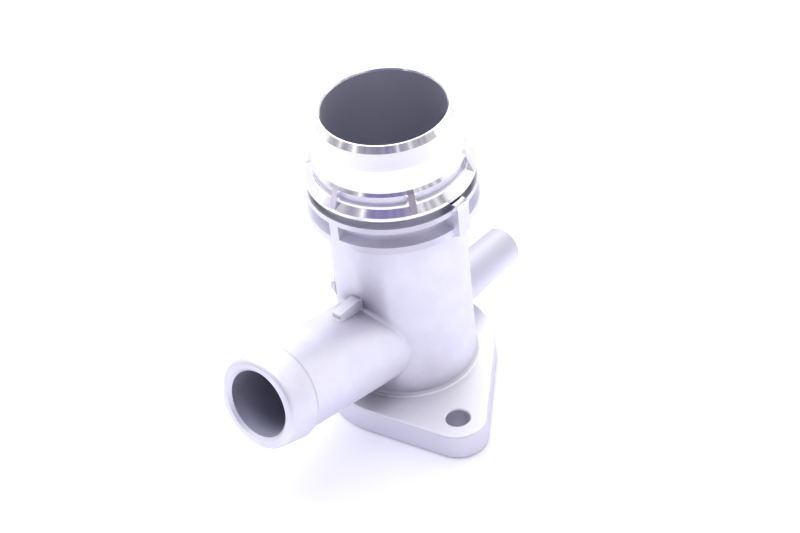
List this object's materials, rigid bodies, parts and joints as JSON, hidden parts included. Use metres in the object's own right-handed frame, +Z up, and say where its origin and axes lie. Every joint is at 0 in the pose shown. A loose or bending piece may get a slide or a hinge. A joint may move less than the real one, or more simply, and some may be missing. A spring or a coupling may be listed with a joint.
{
  "type": "coolant outlet connector",
  "caption": "Cast aluminium coolant outlet: bolt flange with a port, upright body ending in a quick-connect spigot, a beaded hose pipe low on one side and a small plain pipe opposite.",
  "frame": {"origin": "middle of the port in the flange's underside", "axes": "+Z up the body's axis to the spigot, -X towards the hose pipe, +X towards the small pipe"},
  "size_m": [0.111, 0.0756, 0.097],
  "materials": {
    "cast_aluminium": "blasted casting, bright where it is machined"
  },
  "bodies": {
    "root": {"outlet_casting": "cast_aluminium"}
  },
  "joints": []
}
